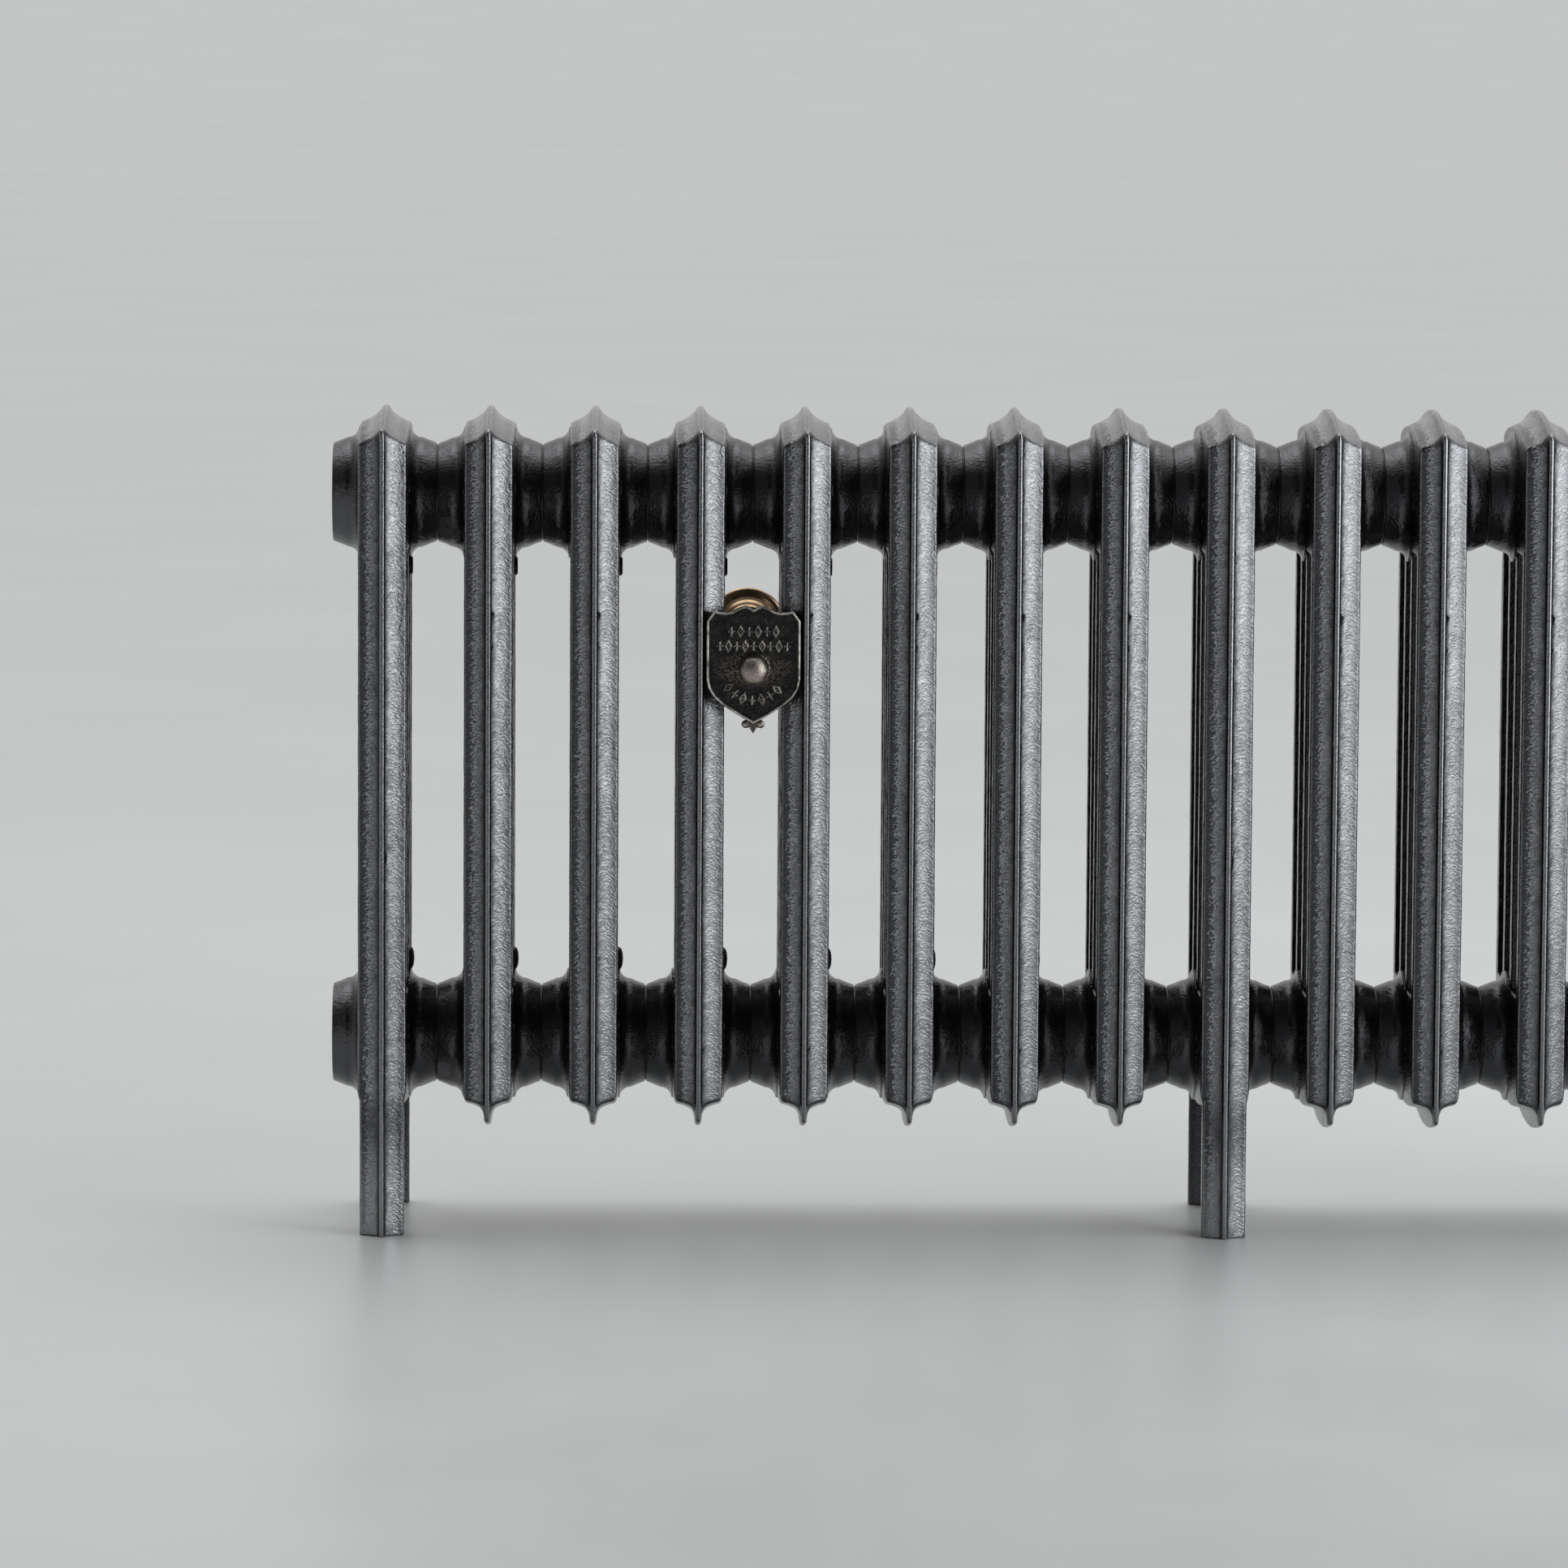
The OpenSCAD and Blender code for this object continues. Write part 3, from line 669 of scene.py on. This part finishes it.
def section_finish():
    """Burnished cast iron: dark pewter, brighter where it is rubbed, with painted highlights and painted
    shade in its colour; painted near black on the hubs as shade, and glossy there.
    """
    s = Shader("burnished_iron")
    where, local = s.coords()
    x, _, z = s.split(local)
    wx, wy, wz = s.split(where)
    hub, edge, facet = s.attribute("hub"), s.attribute("edge"), s.attribute("facet")
    groove, painted_shade = s.attribute("groove"), s.attribute("painted_shade_mask")
    # Scalloped ripples across each facet, nested a little over a millimetre apart
    ax = s.math("MINIMUM", s.math("ABSOLUTE", x), 0.0135)
    mid = s.math("SUBTRACT", ax, 0.0062)
    arch = s.math("MULTIPLY", s.math("MULTIPLY", mid, mid), 85.0)
    wander = s.math("MULTIPLY", s.math("SUBTRACT", s.noise(where, 95.0, 2.0), 0.5), 0.004)
    scale = s.join(s.math("SUBTRACT", wx, s.math("MULTIPLY", x, 0.4)), s.math("MULTIPLY", wy, 0.7),
                   s.math("ADD", s.math("ADD", wz, arch), wander))
    ripple = s.noise(scale, 860.0, 1.5, 0.5, 0.3)
    grain = s.noise(where, 1700.0, 1.0, 0.5)
    dimple = s.noise(where, 300.0, 2.0, 0.6)
    rough_side = s.ramp(facet, 0.1, 0.55, 0.3, 1.0)
    pebble = s.noise(where, 620.0, 3.0, 0.6)
    ripple_here = s.blend(hub, ripple, pebble)
    height = s.math("ADD", s.math("MULTIPLY", s.math("MULTIPLY", ripple_here, rough_side), 0.85),
                    s.math("ADD", s.math("MULTIPLY", grain, 0.1), s.math("MULTIPLY", dimple, 0.45)))
    calm = s.ramp(hub, 0.0, 1.0, 1.0, 0.9)
    normal = s.bump(height, calm, 0.00046)
    # The facet is polished beside the rib and rough along its outer edge, where its colour is painted
    # darker as shade, most on the left-facing facets, with a painted highlight along the ragged line
    # between
    ragged = s.math("ADD", facet, s.math("MULTIPLY", s.math("SUBTRACT", ripple, 0.5), 1.3))
    outer_band_shade = s.ramp(ragged, 0.54, 0.66)
    cloud = s.noise(where, 42.0, 4.0, 0.6)
    worn = s.ramp(edge, 0.15, 0.9)
    hollow_shade = s.ramp(edge, -0.9, -0.1, 1.0, 0.0)
    base = s.mix(s.ramp(cloud, 0.35, 0.68), (0.205, 0.208, 0.216), (0.275, 0.278, 0.288))
    # Painted highlight: the ripple crests painted lighter over the bumped texture
    base = s.mix(s.ramp(ripple, 0.52, 0.7), base, (0.38, 0.385, 0.395))
    # A bright line along the ragged edge of the outer band: a painted highlight, stronger on the
    # left-facing facets
    off_line = s.math("ABSOLUTE", s.math("SUBTRACT", ragged, 0.58))
    line = s.math("SUBTRACT", 1.0, s.math("MULTIPLY", off_line, 9.0), clamp=True)
    # The facet's outer band painted darker: painted shade, stronger on the left-facing facets
    base = s.mix(s.math("MULTIPLY", outer_band_shade, s.ramp(x, -0.003, 0.003, 0.9, 0.3)), base, (0.075, 0.077, 0.083))
    base = s.mix(s.math("MULTIPLY", line, s.ramp(x, -0.003, 0.003, 0.75, 0.2)), base, (0.64, 0.645, 0.655))
    base = s.mix(s.ramp(facet, 0.02, 0.45, 0.45, 0.0), base, (0.10, 0.102, 0.107))
    # Painted highlight: lighter towards the bottom of the feet, below about 55 mm
    base = s.mix(s.ramp(z, 0.015, 0.055, 0.5, 0.0), base, (0.52, 0.525, 0.535))
    # Painted shade: the groove beside the rib painted dark
    base = s.mix(s.math("MULTIPLY", groove, 0.9), base, (0.05, 0.051, 0.055))
    base = s.mix(s.math("MULTIPLY", worn, 0.6), base, (0.45, 0.455, 0.465))
    # Painted shade: hollows painted dark
    base = s.mix(s.math("MULTIPLY", hollow_shade, 0.7), base, (0.04, 0.041, 0.044))
    # Painted shade laid over the masked faces
    base = s.mix(s.math("MULTIPLY", painted_shade, 0.85), base, (0.06, 0.061, 0.065))
    # Painted shade: the hubs painted near black
    base = s.mix(hub, base, (0.10, 0.101, 0.105))
    gloss = s.blend(hub, s.ramp(dimple, 0.35, 0.7, 0.28, 0.18), s.ramp(dimple, 0.35, 0.7, 0.24, 0.15))
    s.set(Base_Color=base, Roughness=gloss, Normal=normal)
    s.bsdf.inputs["Metallic"].default_value = 0.9
    return s.mat


def pewter_finish():
    """The shield: blackened in its field, rubbed to warm silver on the rim and dimly on the ornament."""
    s = Shader("aged_pewter")
    where = s.coords()[0]
    proud, raised, edge = s.attribute("proud"), s.attribute("raised"), s.attribute("edge")
    cloud = s.noise(where, 160.0, 4.0, 0.65)
    speck = s.noise(where, 1300.0, 2.0, 0.6)
    base = s.mix(s.ramp(cloud, 0.4, 0.7), (0.022, 0.021, 0.024), (0.05, 0.046, 0.043))
    base = s.mix(s.math("MULTIPLY", s.ramp(speck, 0.56, 0.68), 0.35), base, (0.30, 0.26, 0.20))
    glitter = s.math("MULTIPLY", s.attribute("stipple"), s.ramp(speck, 0.46, 0.6))
    base = s.mix(s.math("MULTIPLY", glitter, 0.8), base, (0.34, 0.29, 0.22))
    dim = s.math("MULTIPLY", raised, s.ramp(cloud, 0.25, 0.6, 0.2, 0.6))
    base = s.mix(dim, base, (0.24, 0.215, 0.18))
    crest = s.math("MULTIPLY", s.ramp(edge, 0.25, 1.2), s.math("MULTIPLY", raised, 0.5))
    rubbed = s.math("MULTIPLY", s.math("MAXIMUM", proud, crest), s.ramp(cloud, 0.38, 0.58, 0.25, 1.0))
    base = s.mix(rubbed, base, (0.74, 0.71, 0.65))
    s.set(Base_Color=base, Roughness=s.ramp(cloud, 0.3, 0.7, 0.42, 0.3), Normal=s.bump(speck, 0.35, 0.0002))
    s.bsdf.inputs["Metallic"].default_value = 0.9
    return s.mat


def nut_finish():
    s = Shader("worn_nut")
    where = s.coords()[0]
    crown = s.attribute("crown")
    speck, cloud = s.noise(where, 1500.0, 2.0, 0.6), s.noise(where, 200.0, 3.0, 0.6)
    base = s.mix(s.ramp(crown, 0.1, 0.75), (0.07, 0.062, 0.055), (0.50, 0.45, 0.39))
    base = s.mix(s.math("MULTIPLY", s.ramp(speck, 0.48, 0.6), 0.7), base, (0.10, 0.085, 0.07))
    s.set(Base_Color=base, Roughness=s.ramp(cloud, 0.3, 0.7, 0.5, 0.38), Normal=s.bump(speck, 0.3, 0.0002))
    s.bsdf.inputs["Metallic"].default_value = 0.9
    return s.mat


def plain_finish(name, dark, light, metallic, gloss, scale=120.0, grain=900.0, depth=0.0002):
    """A mottled, slightly uneven surface between two tones."""
    s = Shader(name)
    where = s.coords()[0]
    cloud, fine = s.noise(where, scale, 4.0, 0.6), s.noise(where, grain, 2.0, 0.5)
    base = s.mix(s.ramp(cloud, 0.35, 0.68), dark, light)
    s.set(Base_Color=base, Roughness=s.ramp(cloud, 0.3, 0.7, gloss + 0.06, gloss - 0.06),
          Normal=s.bump(fine, 0.3, depth))
    s.bsdf.inputs["Metallic"].default_value = metallic
    return s.mat


# ---------------------------------------------------------------- build

iron = section_finish()
plain = section_mesh("plain_casting", False, 0.0)
legged = section_mesh("leg_casting", True, 57.0)
for me in (plain, legged):
    me.materials.clear()
    me.materials.append(iron)

for name in SECTIONS:
    lo, hi = box_mm(name)
    ob = add_object("casting_" + name[-2:], legged if lo[2] < 1 else plain)
    ob.location = ((lo[0] + hi[0]) / 2 * MM, MID_Y * MM, 0)
    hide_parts(name)
    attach(ob, "radiator")

shield, nut = shield_mesh(), nut_mesh()
shield.materials.append(pewter_finish())
nut.materials.append(nut_finish())
for end in ("left", "right"):
    lo, hi = box_mm("stay_nut_" + end)
    plate_front = box_mm("stay_shield_" + end)[0][1]
    middle = (lo + hi) / 2
    ob = add_object("shield_plate_" + end, shield)
    ob.location = (middle[0] * MM, plate_front * MM, middle[2] * MM)
    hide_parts("stay_shield_" + end)
    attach(ob, "shield_" + end)
    ob = add_object("nut_" + end, nut)
    ob.location = (middle[0] * MM, lo[1] * MM, middle[2] * MM)
    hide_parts("stay_nut_" + end)
    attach(ob, "nut_" + end)

FINISHES = {
    "core_plugs": plain_finish("core_plug_black", (0.012, 0.012, 0.013), (0.03, 0.03, 0.032), 0.3, 0.42,
                               300.0, 700.0, 0.0006),
    "gaskets": plain_finish("gasket_fibre", (0.012, 0.012, 0.013), (0.022, 0.022, 0.023), 0.0, 0.4),
    "nipples": plain_finish("machined_steel", (0.30, 0.30, 0.31), (0.45, 0.45, 0.46), 1.0, 0.34),
    "end_seals": plain_finish("seal_rubber", (0.015, 0.015, 0.015), (0.03, 0.03, 0.03), 0.0, 0.55),
    "stay_rod": plain_finish("zinc_steel", (0.38, 0.38, 0.37), (0.52, 0.52, 0.50), 1.0, 0.36),
    "stay_collar": plain_finish("black_collar", (0.03, 0.027, 0.024), (0.07, 0.06, 0.05), 0.9, 0.16),
    "stay_rosette": plain_finish("antique_brass", (0.22, 0.155, 0.09), (0.42, 0.31, 0.19), 1.0, 0.22, 45.0),
    "blank_plug": plain_finish("black_plug", (0.02, 0.02, 0.021), (0.05, 0.05, 0.053), 0.7, 0.3),
    "vent_body": plain_finish("vent_brass", (0.50, 0.36, 0.15), (0.66, 0.49, 0.23), 1.0, 0.26),
}
FINISHES["flow_bush"] = FINISHES["return_bush"] = FINISHES["vent_plug"] = FINISHES["blank_plug"]
FINISHES["bleed_screw"] = FINISHES["vent_body"]
for name, ob in nodes.items():
    for start, finish in FINISHES.items():
        if name.startswith(start):
            if not ob.material_slots:
                ob.data.materials.append(finish)
            for place in ob.material_slots:
                place.material = finish

# ---------------------------------------------------------------- floor, light and camera


def stage_floor():
    s = Shader("pale_floor")
    at = s.node("ShaderNodeTexCoord").outputs["Object"]
    cloud = s.noise(at, 2.2, 4.0, 0.55)
    fine = s.noise(at, 60.0, 3.0, 0.6)
    base = s.mix(s.ramp(cloud, 0.3, 0.7), (0.74, 0.755, 0.76), (0.80, 0.815, 0.82))
    s.set(Base_Color=base, Roughness=s.ramp(cloud, 0.3, 0.7, 0.32, 0.42), Normal=s.bump(fine, 0.15, 0.001))
    half = 40
    corners = [(-half, -half, 0), (half, -half, 0), (half, half, 0), (-half, half, 0)]
    me = new_mesh("floor", corners, [(0, 1, 2, 3)])
    me.materials.append(s.mat)
    ob = add_object("floor", me)
    ob.location.z = -0.0002
    ob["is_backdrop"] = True


def area(name, at, towards, size, power, colour=(1, 1, 1)):
    data = bpy.data.lights.new(name, "AREA")
    data.shape = "RECTANGLE"
    data.size, data.size_y = size
    data.energy = power
    data.color = colour
    data.spread = math.radians(120)
    ob = bpy.data.objects.new(name, data)
    ob.location = at
    ob.rotation_mode = "QUATERNION"
    ob.rotation_quaternion = (Vector(towards) - Vector(at)).to_track_quat("-Z", "Y")
    bpy.context.scene.collection.objects.link(ob)
    return ob


def light():
    world = bpy.data.worlds.new("room")
    bpy.context.scene.world = world
    world.use_nodes = True
    t = world.node_tree
    t.nodes.clear()
    out = t.nodes.new("ShaderNodeOutputWorld")
    bg = t.nodes.new("ShaderNodeBackground")
    t.links.new(bg.outputs[0], out.inputs[0])
    at = t.nodes.new("ShaderNodeTexCoord")
    sep = t.nodes.new("ShaderNodeSeparateXYZ")
    t.links.new(at.outputs["Generated"], sep.inputs[0])

    def span(socket, a, b, lo, hi):
        n = t.nodes.new("ShaderNodeMapRange")
        n.interpolation_type = "SMOOTHSTEP"
        t.links.new(socket, n.inputs[0])
        for i, v in enumerate((a, b, lo, hi)):
            n.inputs[i + 1].default_value = v
        return n.outputs[0]

    def join(operation, a, b):
        n = t.nodes.new("ShaderNodeMath")
        n.operation = operation
        t.links.new(a, n.inputs[0])
        t.links.new(b, n.inputs[1])
        return n.outputs[0]

    # Dark behind the camera, mid grey past the left-hand end, pale above and behind the object
    side = span(sep.outputs[1], -0.55, -0.4, 0.02, 0.17)
    back = span(sep.outputs[1], 0.1, 0.9, 0.0, 0.5)
    behind = span(sep.outputs[1], -0.25, 0.35, 0.0, 1.0)
    up = join("MULTIPLY", span(sep.outputs[2], 0.62, 0.95, 0.0, 2.3), behind)
    t.links.new(join("ADD", join("ADD", side, back), up), bg.inputs["Strength"])
    bg.inputs["Color"].default_value = (1.0, 1.0, 1.0, 1)
    area("window", (1.6, -0.25, 0.84), (0.828, 0.387, 0.79), (2.6, 1.5), 15, (0.97, 0.985, 1.0))
    area("far_strip", (-4.2, -4.0, 1.0), (-0.3, -0.1, 0.8), (0.44, 1.9), 1.5)


def camera():
    """The photograph's viewing point, fitted to the radiator's own corners."""
    where = Vector((-0.3345, -4.9553, 0.7902))
    yaw, pitch, roll = (math.radians(a) for a in (0.976, 6.27, 0.331))
    fwd = Vector((math.sin(yaw) * math.cos(pitch), math.cos(yaw) * math.cos(pitch), -math.sin(pitch)))
    right = Vector((math.cos(yaw), -math.sin(yaw), 0))
    up = right.cross(fwd)
    r2 = right * math.cos(roll) + up * math.sin(roll)
    u2 = up * math.cos(roll) - right * math.sin(roll)
    data = bpy.data.cameras.new("camera")
    data.sensor_width = 36
    data.lens = 10566 * 36 / 1932
    data.clip_start, data.clip_end = 0.1, 100
    ob = bpy.data.objects.new("camera", data)
    ob.matrix_world = Matrix.Translation(where) @ Matrix((r2, u2, -fwd)).transposed().to_4x4()
    bpy.context.scene.collection.objects.link(ob)
    bpy.context.scene.camera = ob


stage_floor()
light()
camera()
bpy.context.scene.view_settings.view_transform = "Standard"

bpy.context.view_layer.update()
lo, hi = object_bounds()
